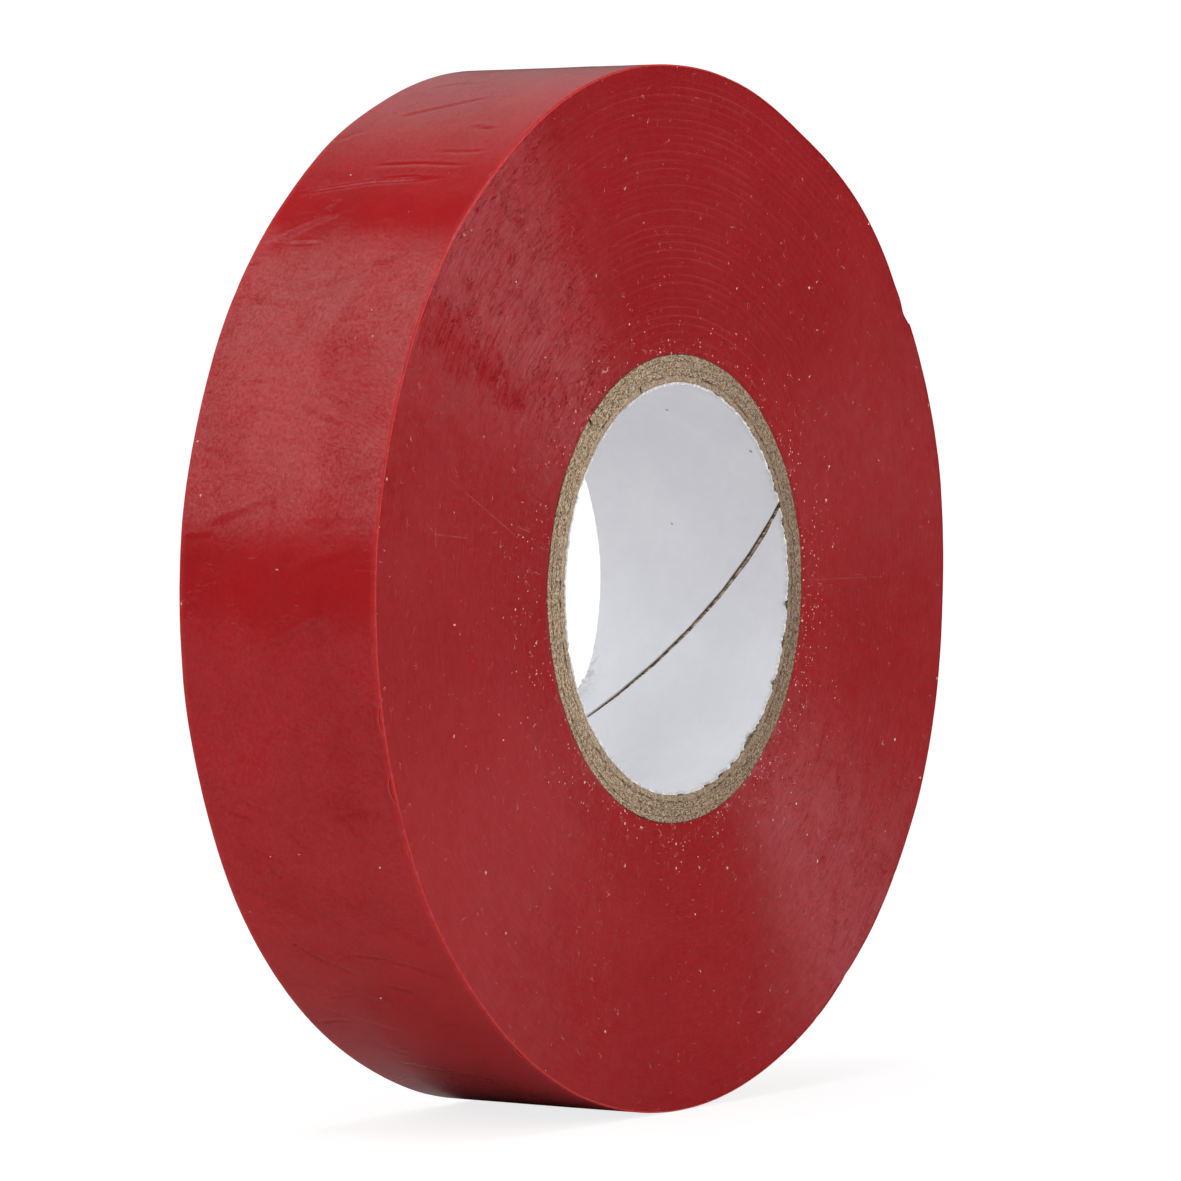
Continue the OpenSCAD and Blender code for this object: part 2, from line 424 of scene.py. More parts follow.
# ---------------------------------------------------------------- shader graphs
class Value:
    """A shader output that takes part in arithmetic; with a tuple, in vector arithmetic."""

    def __init__(self, net, socket):
        self.net, self.socket = net, socket

    def math(self, kind, other=0.0, swap=False, clamp=False):
        if isinstance(other, tuple):
            return self.net.vector_math(kind, self, other)
        pair = (other, self) if swap else (self, other)
        return self.net.math(kind, *pair, clamp=clamp)

    def __add__(self, other):
        return self.math("ADD", other)

    def __radd__(self, other):
        return self.math("ADD", other, swap=True)

    def __sub__(self, other):
        return self.math("SUBTRACT", other)

    def __rsub__(self, other):
        return self.math("SUBTRACT", other, swap=True)

    def __mul__(self, other):
        return self.math("MULTIPLY", other)

    def __lt__(self, other):
        return self.math("LESS_THAN", other)

    def __gt__(self, other):
        return self.math("GREATER_THAN", other)

    def __abs__(self):
        return self.math("ABSOLUTE")

    def max(self, other):
        return self.math("MAXIMUM", other)

    def map(self, low, high, to, **props):
        return self.net.value("MapRange", props=props, Value=self, From_Min=low, From_Max=high,
                              To_Min=to[0], To_Max=to[1])

    def step(self, low, high, to=(0.0, 1.0)):
        """Smooth step from low to high."""
        return self.map(low, high, to, interpolation_type="SMOOTHSTEP")

    def ramp(self, low, high, to=(0.0, 1.0), clamp=True):
        """Straight ramp from low to high."""
        return self.map(low, high, to, clamp=clamp)

    def mix(self, to, by):
        return self.net.mix(self, to, by)

    def split(self):
        node = self.net.node("SeparateXYZ", self)
        return [Value(self.net, out) for out in node.outputs]

    def noise(self, scale, detail, rough, distort=0.0, shift=None):
        """Noise over this vector times scale (a number or one per axis), then shifted."""
        place = self * (scale if isinstance(scale, tuple) else (scale,) * 3)
        if shift:
            place = place + shift
        return self.net.value("TexNoise", out="Fac", Vector=place, Scale=1.0, Detail=detail,
                              Roughness=rough, Distortion=distort)

    def cells(self, scale):
        """Distance to the nearest scattered point, and two random numbers of that point."""
        node = self.net.node("TexVoronoi", Vector=self, Scale=scale, Randomness=1.0)
        colour = self.net.node("SeparateColor", Value(self.net, node.outputs["Color"]))
        sockets = (node.outputs["Distance"], colour.outputs[0], colour.outputs[1])
        return [Value(self.net, socket) for socket in sockets]


class Graph:
    """The node tree of a material, world or light."""

    def __init__(self, owner, clear=True):
        owner.use_nodes = True
        self.owner, self.tree = owner, owner.node_tree
        if clear:
            self.tree.nodes.clear()

    def put(self, socket, value):
        if isinstance(value, Value):
            self.tree.links.new(value.socket, socket)
        elif socket.type == "RGBA":
            socket.default_value = (*value, 1)
        else:
            socket.default_value = value

    def node(self, kind, *places, props=None, **named):
        """A node; inputs go by position, or by name with _ for a space."""
        node = self.tree.nodes.new("ShaderNode" + kind)
        for key, value in (props or {}).items():
            setattr(node, key, value)
        for i, value in enumerate(places):
            self.put(node.inputs[i], value)
        for key, value in named.items():
            self.put(node.inputs[key.replace("_", " ")], value)
        return node

    def value(self, kind, *places, out=0, **rest):
        return Value(self, self.node(kind, *places, **rest).outputs[out])

    def math(self, kind, *places, clamp=False):
        return self.value("Math", *places, props=dict(operation=kind, use_clamp=clamp))

    def vector_math(self, kind, first, second=(0, 0, 0), **named):
        out = "Value" if kind in ("LENGTH", "DOT_PRODUCT") else "Vector"
        return self.value("VectorMath", first, second, out=out, props=dict(operation=kind), **named)

    def mix(self, start, to, by):
        """Colour that goes from start to `to` as `by` goes from 0 to 1."""
        node = self.node("Mix", by, props=dict(data_type="RGBA"))
        self.put(node.inputs[6], start)
        self.put(node.inputs[7], to)
        return Value(self, node.outputs[2])

    def vector(self, name):
        return self.value("Attribute", out="Vector", props=dict(attribute_name=name))

    def factor(self, name):
        return self.value("Attribute", out="Fac", props=dict(attribute_name=name))

    def surface(self, height, depth, **looks):
        """Close a material: height times depth (metres) is its bump. Returns the material."""
        normal = self.value("Bump", Strength=1.0, Distance=depth, Height=height)
        self.node("OutputMaterial", self.value("BsdfPrincipled", Normal=normal, **looks))
        return self.owner


# ---------------------------------------------------------------- materials
# Colours are linear RGB. Noise scales are in cells a millimetre.
RED = (0.50, 0.0125, 0.0155)
RED_DEEP = (0.40, 0.0080, 0.0105)
RED_LIGHT = (0.62, 0.030, 0.033)


def film_material():
    """Outside of the strip: satin PVC with smears, dust, painted shade in the crease valleys and a
    painted highlight that makes the cut edge brighter.
    """
    net = Graph(bpy.data.materials.new("pvc_film_outside"))
    rest = net.vector("rest")             # the place of the point at rest, mm
    edge = net.factor("edge")             # 1 at the slit edges
    under = net.factor("under")           # 1 on the adhesive side
    valley = net.factor("valley")         # 1 along creases
    phase, ripple, dull = net.vector("marks").split()

    cloud = rest.noise(.07, detail=3, rough=.55)
    blotch = rest.noise(.35, detail=3, rough=.6)
    grain = rest.noise(3.7, detail=2, rough=.7)
    edge_highlight_breakup = rest.noise((1.3, .3, 1.3), detail=3, rough=.7)

    colour = net.mix(RED_DEEP, RED, by=cloud.step(.3, .7))
    colour = colour.mix(RED_LIGHT, by=blotch.ramp(.35, .75, to=(0, .20)))
    grain_red, crease_shade_red, smear_red = (.31, .0060, .0080), (.20, .0045, .0060), (.36, .0060, .0080)
    colour = colour.mix(grain_red, by=grain.ramp(.30, .70, to=(0, .42)))
    # painted shade: the crease valleys are painted a darker red
    colour = colour.mix(crease_shade_red, by=valley * .20)
    colour = colour.mix(smear_red, by=dull * .34)
    edge_highlight_red, under_red = (.74, .060, .055), (.36, .010, .012)
    # painted highlight: the slit edges and the slivers are painted a brighter red, in broken
    # stretches
    colour = colour.mix(edge_highlight_red, by=edge * edge_highlight_breakup.ramp(.3, .7, to=(.38, 1.0)))
    colour = colour.mix(under_red, by=under * .9)

    def dust(scale, size, keep, shift):
        """Specks in the cells whose random number is above keep."""
        dist, pick, random_size = (rest + (shift, shift * .6, shift * 1.2)).cells(scale)
        wobble = rest.noise(8, detail=1, rough=.5).ramp(.3, .7, to=(-.03, .04), clamp=False)
        return (dist + wobble < random_size * size) * (pick > keep)

    specks = dust(scale=.40, size=.050, keep=.70, shift=0.0)
    specks = specks.max(dust(scale=.9, size=.085, keep=.90, shift=9.0)) * (1.0 - under)
    dust_pink = (.86, .62, .58)
    colour = colour.mix(dust_pink, by=specks * .8)

    smear = rest.noise((.16, .24, .16), detail=4, rough=.65, distort=.6)
    hand = rest.noise((.8, .5, .8), detail=3, rough=.6, distort=1.2)
    fleck = rest.noise((9.0, 6.0, 9.0), detail=2, rough=.8)
    # smears, grain, the cut edge and the adhesive side are less glossy
    rough = (smear.ramp(.3, .75, to=(.155, .225))
             + grain.ramp(.3, .7, to=(-.02, .03), clamp=False)
             + dull * .10 + edge * .12 + under * .10)
    # reflectance, lowered by each kind of wear
    specular = (.54 - dull * .20 - valley * .13
                - grain.ramp(.35, .7, to=(-.06, .24), clamp=False)
                - hand.ramp(.42, .7, to=(0, .13)) - edge * .22
                - fleck.ramp(.35, .70, to=(-.05, .12), clamp=False))

    # relief: lines round the roll, orange peel, creases too fine for the mesh, fan of ripples
    lines = rest.noise((.05, 2.6, .05), detail=3, rough=.6)
    peel = rest.noise(1.9, detail=3, rough=.55)
    web = rest.noise((.42, .30, .42), detail=3, rough=.55, distort=1.6)
    web = 1.0 - abs(web - .5).step(0, .012)
    web_mask = rest.noise(.3, detail=2, rough=.5, shift=(4, 9, 2)).step(.52, .62)
    wobble = rest.noise(.9, detail=2, rough=.5)
    wave = (phase * 11.2 + wobble * 9.0).math("SINE")
    height = (lines * .55 + peel * 1.3 + grain * .22 - web * web_mask * 1.1
              + wave * ripple * 1.35 + specks * 3.0)
    return net.surface(height, depth=.0000085, Base_Color=colour, Roughness=rough, IOR=1.50,
                       Specular_IOR_Level=specular)


# Long fine scratches on the front slit side: angle and radius (mm) of both ends, strength
SCRATCHES = [
    (168.2, 35.8, 173.1, 35.3, .34), (171.5, 35.7, 171.0, 31.2, .26),
    (163.9, 34.5, 168.2, 24.8, .28), (.5, 20.4, .3, 31.8, .20), (166.7, 24.3, 166.8, 22.6, .40),
    (216.0, 33.0, 222.5, 31.0, .10), (283.0, 24.5, 279.0, 30.0, .10)]


def scratch_line(net, rest, mottle, start, end, half=.045):
    """Mask of one broken line between two (x, z) points, with a half-width in mm."""
    run_x, run_z = end[0] - start[0], end[1] - start[1]
    run = (run_x, 0, run_z)
    rel = rest * (1, 0, 1) - (start[0], 0, start[1])
    share = net.vector_math("DOT_PRODUCT", rel, run).math(
        "MULTIPLY", 1 / (run_x * run_x + run_z * run_z), clamp=True)
    foot = net.vector_math("SCALE", run, Scale=share)
    gap = net.vector_math("LENGTH", net.vector_math("SUBTRACT", rel, foot))
    gap = gap + mottle.ramp(.3, .7, to=(-.05, .05), clamp=False)
    return (1.0 - abs(gap).step(half * .4, half * 1.6)) * mottle.step(.36, .60)


def face_material():
    """Slit side: hundreds of cut edges, ring marks with a painted highlight near the top, knife
    streaks and paper dust, painted sheen in the sheen sectors and painted shade where it is dull.
    """
    net = Graph(bpy.data.materials.new("pvc_slit_side"))
    rest = net.vector("rest")
    ring = net.vector("polar")            # (layer depth mm, cos, sin)
    ridge = net.factor("ridge")           # 1 along a turn that stands proud
    ring_highlight_zone, sheen_sector_zone, dust_zone = net.vector("zone").split()
    matt = net.factor("matt")             # 1 where the side is rubbed dull, with painted shade; below 0 glossier, with painted sheen
    layer = ring.split()[0]

    # knife streaks along the turns, and short ripples lying across them
    streak = ring.noise((5.5, 9, 9), detail=3, rough=.6)
    fine_streak = ring.noise((13, 22, 22), detail=2, rough=.6)
    cross = ring.noise((.55, 46, 46), detail=2, rough=.6, distort=.7)
    # slanting marks
    turned = net.value("VectorRotate", props=dict(rotation_type="Y_AXIS"), Vector=rest,
                       Angle=math.radians(46))
    slant = turned.noise((.55, 1, 4.2), detail=3, rough=.6, distort=.4, shift=(8.3, 14.11, 4.98))
    # strokes along the turns, and blotches among them
    stroke = ring.noise((4.2, 20, 20), detail=3, rough=.66, distort=.45, shift=(3, 6, 1))
    blot = ring.noise((2.1, 26, 26), detail=3, rough=.6, distort=.7, shift=(9, 2, 5))
    # fine cracks
    crack = rest.noise(.78, detail=3, rough=.62, distort=1.3, shift=(1, 5, 3))
    crack = 1.0 - abs(crack - .5).step(.002, .013)
    crack_mask = rest.noise(.42, detail=2, rough=.5, shift=(8, 2, 6))
    patch = rest.noise(.11, detail=3, rough=.6)
    small_patch = rest.noise(.26, detail=3, rough=.6, distort=.8, shift=(7, 3, 1))
    mottle = rest.noise(.75, detail=3, rough=.6, distort=.5)
    grain = rest.noise(5.0, detail=2, rough=.7)
    arc = ring.noise((1.4, 4.0, 4.0), detail=2, rough=.5)
    rings = ridge * ring_highlight_zone * arc.step(.30, .62)
    turn = (layer * (2 * math.pi / .142)).math("SINE")
    cloud = rest.noise(.06, detail=3, rough=.6)

    colour = net.mix((.345, .0080, .0100), (.402, .0122, .0148), by=cloud.step(.3, .72))
    streak_red, dark_red, grain_red = (.47, .026, .030), (.27, .006, .008), (.26, .005, .007)
    colour = colour.mix(streak_red, by=streak.ramp(.3, .7, to=(0, .25)))
    colour = colour.mix(dark_red, by=fine_streak.ramp(.35, .75, to=(0, .22)))
    colour = colour.mix(grain_red, by=grain.ramp(.3, .7, to=(0, .42)))
    colour = colour.mix(dark_red, by=cross.ramp(.52, .75, to=(0, .35)))
    sheen_sector_red, ring_highlight_red = (.47, .013, .020), (.62, .085, .080)
    # painted sheen: the sheen sectors are painted a brighter red
    colour = colour.mix(sheen_sector_red, by=sheen_sector_zone * .22)
    # painted highlight: proud turns near the top are painted a lighter red
    colour = colour.mix(ring_highlight_red, by=rings * .50)

    # dark nicks in the rough patches, across and along the turns, and the cracks
    nick = ring.noise((3.2, 34, 34), detail=2, rough=.6, distort=.8).step(.63, .69)
    long_nick = rest.noise((1.5, 1, 3.4), detail=3, rough=.7, distort=1.5, shift=(5, 1, 7))
    nicks = nick.max(long_nick.step(.645, .68)) * small_patch.step(.44, .54)
    nicks = nicks.max(crack * .8 * crack_mask.step(.47, .57))
    nicks = nicks * sheen_sector_zone.ramp(.25, .9, to=(0, 1))
    nick_red, blot_red, stroke_red = (.13, .005, .007), (.24, .005, .007), (.26, .006, .009)
    colour = colour.mix(nick_red, by=nicks * .60)
    blots = blot.step(.56, .70) * sheen_sector_zone
    colour = colour.mix(blot_red, by=blots * .45)
    colour = colour.mix(stroke_red, by=stroke.step(.50, .66) * sheen_sector_zone * .40)
    # rubbed and dull places lose gloss and are painted darker as painted shade; where matt is below
    # zero the side is glossier and painted brighter as painted sheen
    matt_shade_red, painted_sheen_red = (.26, .006, .008), (.56, .022, .026)
    colour = colour.mix(matt_shade_red, by=matt.math("MULTIPLY", .22, clamp=True))
    colour = colour.mix(painted_sheen_red, by=matt.math("MULTIPLY", -.16, clamp=True))

    # paper dust: three sizes of pale specks, thick near the core
    wobble = rest.noise(7, detail=2, rough=.6).ramp(.3, .7, to=(-.07, .09), clamp=False)

    def specks(scale, size, keep, shift):
        dist, pick, random_size = (rest + (shift, shift * .7, shift * 1.3)).cells(scale)
        near = dist + wobble < (random_size + .25) * size
        clump = small_patch.ramp(.40, .62, to=(-.05, .06))
        return near * (pick + clump + dust_zone * .34 > keep)

    dust = specks(scale=3.1, size=.21, keep=1.115, shift=0.0)
    dust = dust.max(specks(scale=1.7, size=.15, keep=1.07, shift=11.0))
    dust = dust.max(specks(scale=.7, size=.10, keep=.955, shift=31.0))
    # hair-fine paper fibres, and the long scratches of the front side
    fibre = rest.noise(.9, detail=1, rough=.5, distort=.4)
    fibre = 1.0 - abs(fibre - .5).step(.0, .007)
    fibre_mask = rest.noise(1.3, detail=1, rough=.5, shift=(2, 8, 4))
    fibre = fibre * (fibre_mask + dust_zone * .10).step(.63, .69)
    front = rest.split()[1].step(.5, -.5)
    for angle0, radius0, angle1, radius1, strength in SCRATCHES:
        ends = on_side(angle0, radius0), on_side(angle1, radius1)
        fibre = fibre.max(scratch_line(net, rest, mottle, *ends) * strength * front)
    pale = (dust * .88).max(fibre * .42)
    paper_pink = (1.0, .66, .58)
    colour = colour.mix(paper_pink, by=pale)

    height = (streak * .35 + fine_streak * .20 + cross * .30 + mottle * .20 + grain * .16
              + (slant * .5 - stroke) * (sheen_sector_zone * .55)
              + rings * .30 + turn * .03 + nicks * -.7 + dust * .8)
    rough = patch.ramp(.3, .7, to=(.33, .38)) + pale * .3
    # reflectance, broken up by the mottling and lowered by strokes, blots, rubbing and nicks
    gate = sheen_sector_zone.ramp(.05, .9, to=(.25, 1.0))
    specular = (.33 - mottle.ramp(.40, .68, to=(-.03, .07), clamp=False)
                - small_patch.ramp(.42, .64, to=(-.03, .07), clamp=False)
                - stroke.ramp(.40, .66, to=(-.06, .15), clamp=False) * gate
                - blots * .10 - matt * .16)
    specular = (specular - nicks * .2).max(.05)
    # highlights are drawn out by the turns
    tangent = net.value("Tangent", props=dict(direction_type="RADIAL", axis="Y"))
    return net.surface(height, depth=.000050, Base_Color=colour, Roughness=rough, IOR=1.5,
                       Anisotropic=1.0, Anisotropic_Rotation=.25, Tangent=tangent,
                       Specular_IOR_Level=specular)


def chip_material(name, glued_with_seam_shadow=False, pale_ply=0.0):
    """Raw chipboard: fibres lying round the core, dark pits and pale fibre ends."""
    net = Graph(bpy.data.materials.new(name))
    rest = net.vector("rest")
    ring = net.vector("polar")            # (radius mm, 18 cos, 18 sin)
    shade = net.factor("shade")           # 1 where the board is darker: where plies meet, painted shadow along the tape, and a darker side toward 350 degrees
    fibre = ring.noise((7.4, 3.4, 3.4), detail=4, rough=.85)
    fine_fibre = ring.noise((10.5, 4.8, 4.8), detail=3, rough=.85, shift=(5, 9, 2))
    grain = rest.noise(6.5, detail=3, rough=.8)
    cloud = rest.noise(.35, detail=3, rough=.6)
    dark_board, light_board, cloud_brown = (.19, .116, .060), (.925, .684, .458), (.60, .43, .28)
    colour = net.mix(dark_board, light_board, by=fibre.step(.42, .58))
    colour = colour.mix(cloud_brown, by=cloud.ramp(.35, .7, to=(0, .20)))
    # pale fibre ends and dark pits, each from fibre and grain
    pit, grain_pit = fine_fibre.step(.43, .37), grain.step(.39, .33)
    pale, grain_pale = fine_fibre.step(.57, .63), grain.step(.60, .66)
    pale_brown, pit_brown = (.94, .81, .61), (.045, .026, .016)
    colour = colour.mix(pale_brown, by=pale.max(grain_pale) * .62)
    colour = colour.mix(pit_brown, by=pit.max(grain_pit) * .82)
    # scattered near-black specks
    dist, pick, size = rest.cells(.62)
    speck_black = (.02, .012, .01)
    colour = colour.mix(speck_black, by=(dist < size * .10) * (pick > .55) * .9)
    if pale_ply:
        # a paler, closer stock, with a broken dark glue line at its outside
        stock_brown, glue_brown = (.82, .61, .41), (.075, .045, .028)
        colour = colour.mix(stock_brown, by=pale_ply)
        radius = ring.split()[0]
        broken = ring.noise((.5, .9, .9), detail=3, rough=.7).step(.47, .60)
        glue = radius.step(LINER_R + PLY_T - .16, LINER_R + PLY_T - .05) * broken
        colour = colour.mix(glue_brown, by=glue * .80)
    # painted shadow along the tape, darker joints where plies meet and a darker side toward 350
    # degrees
    shade_brown = (.055, .016, .004)
    colour = colour.mix(shade_brown, by=shade * .93)
    if glued_with_seam_shadow:
        # glue stains the bore; a shadow lies along both sides of the liner's seam
        seam_gap = abs(net.factor("seam"))
        side = seam_gap.step(.045, .15) * seam_gap.step(.55, .40)
        glue_and_shadow_brown = (.050, .030, .020)
        colour = colour.mix(glue_and_shadow_brown, by=.10 + side * .78)
    height = fibre * 1.0 + fine_fibre * .8 + grain * .9 - pit.max(grain_pit) * .8
    return net.surface(height, depth=.00009, Base_Color=colour, Roughness=.93,
                       Specular_IOR_Level=.2)


def paper_material():
    """Smooth white liner paper with a faint cloud, grey specks and a torn front edge."""
    net = Graph(bpy.data.materials.new("liner_paper_white"))
    rest = net.vector("rest")
    torn = net.factor("torn")             # 1 at the front edge
    dirt = net.factor("shade")
    tone = rest.noise(.13, detail=3, rough=.6)
    cloud = rest.noise(.9, detail=4, rough=.65)
    colour = net.mix((.855, .86, .89), (.90, .905, .93), by=tone.step(.3, .7))
    cloud_white, speck_grey = (.79, .795, .82), (.16, .15, .15)
    colour = colour.mix(cloud_white, by=cloud.ramp(.35, .7, to=(0, .25)))
    dist, pick, size = rest.cells(.36)
    colour = colour.mix(speck_grey, by=(dist < size * .062) * (pick > .22) * .65)
    frayed = rest.noise(2.1, detail=3, rough=.7).step(.47, .60)
    edge_white = net.mix((.60, .585, .57), (.96, .955, .94), by=frayed)
    colour = colour.mix(edge_white, by=torn * .75)
    dirt_cloud = rest.noise(1.6, detail=4, rough=.7, distort=.8)
    dirt_grey, blotch_grey = (.34, .33, .34), (.45, .44, .45)
    colour = colour.mix(dirt_grey, by=dirt * dirt_cloud.step(.42, .62))
    blotch = rest.noise(2.4, detail=3, rough=.7, shift=(3, 1, 6)).step(.66, .76)
    colour = colour.mix(blotch_grey, by=blotch * .16)
    fibre = rest.noise(7, detail=3, rough=.6)
    height = cloud * 1.2 + fibre * .5 + torn * fibre * 3.0
    return net.surface(height, depth=.000012, Base_Color=colour,
                       Roughness=cloud.ramp(.3, .7, to=(.52, .64)), Specular_IOR_Level=.35)


FILM = film_material()
FACE = face_material()
CHIP = chip_material("core_chipboard")
CHIP_BORE = chip_material("core_chipboard_bore", glued_with_seam_shadow=True)
CHIP_INNER = chip_material("core_chipboard_inner_ply", pale_ply=.30)
PAPER = paper_material()


# ---------------------------------------------------------------- the last turn and the loose end
def strip_section(theta, y):
    """Radius of the outside of the last turn, with its corners rounded, mm."""
    radius = spiral(theta) + swell(theta, y) + film_relief(theta, y)
    return radius - corner_drop(HALF_W - np.abs(y)) * 0.75


def across_rows(count):
    """y of the rows across the strip: even in the middle, close together at both slit edges."""
    middle = np.linspace(-HALF_W + CORNER, HALF_W - CORNER, count)
    front = -HALF_W + CORNER * np.array([0, .05, .16, .34, .58, .80])
    return np.concatenate([front, middle, -front[::-1]])


def sliver_tube(path, radius, start):
    """A hair of film: a closed six-sided tube along a path, its ends drawn to a point."""
    count = len(path)
    along = np.gradient(path, axis=0)
    along /= np.linalg.norm(along, axis=1)[:, None]
    side = np.cross(along, np.tile([0.0, 1.0, 0.0], (count, 1)))
    side /= np.linalg.norm(side, axis=1)[:, None]
    up = np.cross(side, along)
    girth = radius * np.sqrt(np.clip(np.sin(np.pi * np.linspace(.02, .98, count)), .05, 1))
    angle = np.linspace(0, 2 * np.pi, 7)[:-1]
    verts = path[:, None] + girth[:, None, None] * (
        np.cos(angle)[None, :, None] * side[:, None]
        + 1.6 * np.sin(angle)[None, :, None] * up[:, None])
    faces = (start + loop_faces(count, 6, False)[:, ::-1]).tolist()
    faces.append([start + k for k in range(6)])
    faces.append([start + (count - 1) * 6 + k for k in range(6)][::-1])
    return verts.reshape(-1, 3), faces


def strip_piece(name, stations, rows_out, rows_in, slivers=()):
    """A closed length of tape: outside, slit edges, adhesive side and both ends."""
    theta, y = np.meshgrid(stations, across_rows(rows_out), indexing="ij")
    # the slit edges wander a few hundredths
    wander = 0.035 * ring_noise(theta, .5, cells=60, seed=71, octaves=3)
    wander = wander * (np.abs(y) > HALF_W - CORNER * .5)
    outer = polar(theta, strip_section(theta, y), y - np.sign(y) * np.abs(wander))
    inner_rows = np.linspace(-HALF_W + .012, HALF_W - .012, rows_in)[::-1]
    theta_in, y_in = np.meshgrid(stations, inner_rows, indexing="ij")
    inner_r = spiral(theta_in) + swell(theta_in, y_in) - TAPE_T
    inner_r = inner_r - corner_drop(HALF_W - np.abs(y_in)) * 0.25
    loop = np.concatenate([outer, polar(theta_in, inner_r, y_in)], 1)
    count, loop_len = loop.shape[:2]
    verts = loop.reshape(-1, 3)
    grid_count = len(verts)

    def end_cap(station, turn):
        """The outside row marched against the inside row; some quads close to triangles."""
        first = station * loop_len
        n_out = theta.shape[1]
        out = first + np.arange(n_out)
        nearest = np.round(np.linspace(0, rows_in - 1, n_out)).astype(int)
        inside = first + loop_len - 1 - nearest
        quads = np.stack([out[:-1], out[1:], inside[1:], inside[:-1]], -1)[:, ::turn]
        return [list(dict.fromkeys(q)) for q in quads.tolist()]

    caps = end_cap(0, -1) + end_cap(count - 1, 1)
    caps.sort(key=len, reverse=True)
    faces = loop_faces(count, loop_len, False).tolist() + caps

    for start, end, bow, rise, radius in slivers:
        angle = np.linspace(start, end, 26)
        arch = np.sin(np.pi * np.linspace(0, 1, 26))
        at_y = -HALF_W + .03 + bow * arch
        path = polar(angle, strip_section(angle, at_y) + .02 + rise * arch, at_y)
        hair, hair_faces = sliver_tube(path, radius, len(verts))
        verts = np.concatenate([verts, hair])
        faces += hair_faces

    def spread(outside, inside=0.0, hair=0.0):
        """Values of the outside, joined by constants for the adhesive side and the slivers."""
        tail = outside.shape[2:]
        grid = np.concatenate([outside, np.full(theta_in.shape + tail, inside)], 1)
        rest = np.full((len(verts) - grid_count,) + tail, hair)
        return np.concatenate([grid.reshape(-1, *tail), rest])

    inset = HALF_W - np.abs(y)
    edge = .58 * np.clip(1 - inset / .66, 0, 1) ** 1.3 + .42 * np.clip(1 - inset / .13, 0, 1)
    attrs = {"edge": spread(edge, hair=1.0), "under": spread(np.zeros_like(y), inside=1.0),
             "valley": spread(creases(theta, y)[1]), "marks": spread(film_marks(theta, y))}
    return build(name, verts, faces, attrs, [FILM], sharp_deg=50)


# Slivers of film at the front slit edge:
# start and end angle, bow along +Y mm, rise outward mm, thickness radius mm
SLIVERS = [
    (190.3, 193.6, .34, .05, .030), (197.5, 201.4, .42, .10, .034), (128.4, 129.8, .20, .08, .030),
    (206.2, 207.4, .16, .05, .026), (236.0, 238.6, .30, .07, .030)]
wrap = strip_piece("last_turn_of_tape", np.linspace(END_DEG, PEEL_DEG + 360, 1700),
                   rows_out=40, rows_in=3, slivers=SLIVERS)
fit(wrap, "tape_outer_wrap")

BEND_SHARE = .36                           # share of each loose length meant for a bend at its hinge; bend_start and bend_end are worked out from it but not used, and nothing bends
for k, angle in enumerate(HINGE_DEG):
    piece = strip_piece("loose_end_%d" % (k + 1), np.linspace(angle, angle + TAIL_STEP, 25),
                        rows_out=46, rows_in=30)
    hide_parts("tape_tail_%d" % (k + 1))
    bend_start = polar(angle, ROLL_R, 0.0) * MM
    bend_end = polar(angle + TAIL_STEP * BEND_SHARE, ROLL_R, 0.0) * MM
    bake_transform(piece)


# ---------------------------------------------------------------- the wound turns below
PACK_STATIONS = 480


def pack_radius(theta, y):
    return spiral(theta) - PITCH + swell(theta, y)


def proud_turns(seed, mean, jitter):
    """Depths (mm from the core) of turns that stand a little proud, and a height for each."""
    rng = np.random.default_rng(seed)
    depths, x = [], .45
    while x < SPAN - .8:
        depths.append(x)
        x += mean + rng.uniform(-jitter, jitter)
    return np.array(depths), rng.uniform(.55, 1.0, len(depths))


def side_rows(turns, second, offsets, clear, rim_gaps):
    """Shares of the span from core to rim: rows by each proud turn, then rows near the rim."""
    rows = [0, second] + [turn + offset for turn in turns for offset in offsets]
    rows = [x for x in rows if x < SPAN - clear] + [SPAN - gap for gap in rim_gaps]
    return np.array(sorted(rows)) / SPAN


def side_relief(theta, layer, radius, seed, turns, heights, half):
    """Standing-out of the slit side, mm, positive away from mid-width, and the ridge mask."""
    wavy = layer + .05 * ring_noise(theta, layer / 6.0, cells=14, seed=seed + 2, octaves=2)
    ridge = np.zeros_like(theta)
    for depth, height in zip(turns, heights):
        swing = .62 + .38 * ring_noise(theta, depth * 3.7, cells=9, seed=seed + 3, octaves=2)
        ridge = np.maximum(ridge, height * swing * np.clip(1 - np.abs(wavy - depth) / half, 0, 1))
    top = 0.40 + 0.60 * bell(wrap180(theta - 86), 42)
    out = 0.020 * ridge * top
    out = out + 0.032 * ring_noise(theta, layer / 8.0 + 2, cells=8, seed=seed + 5, octaves=2)
    out = out + (0.0085 * ring_noise(theta, layer / 2.6, cells=34, seed=seed + 9, octaves=2)
                 * (radius / ROLL_R))
    # knife chatter in patches
    patch = smooth(ring_noise(theta, layer / 6.0 + 1, cells=8, seed=seed + 13), .0, .5)
    chatter = ring_noise(theta, layer / .9, cells=130, seed=seed + 15, octaves=2)
    return out + 0.009 * patch * chatter, ridge


# Rubbed dull streak on the front side: angle, radius mm, half-width mm
RUBBED_LINE = [(149.6, 43.2, 1.5), (148.7, 41.0, 1.8), (149.2, 38.0, 2.1), (147.6, 34.5, 1.9),
               (146.4, 30.4, 1.6), (146.0, 27.4, .8)]


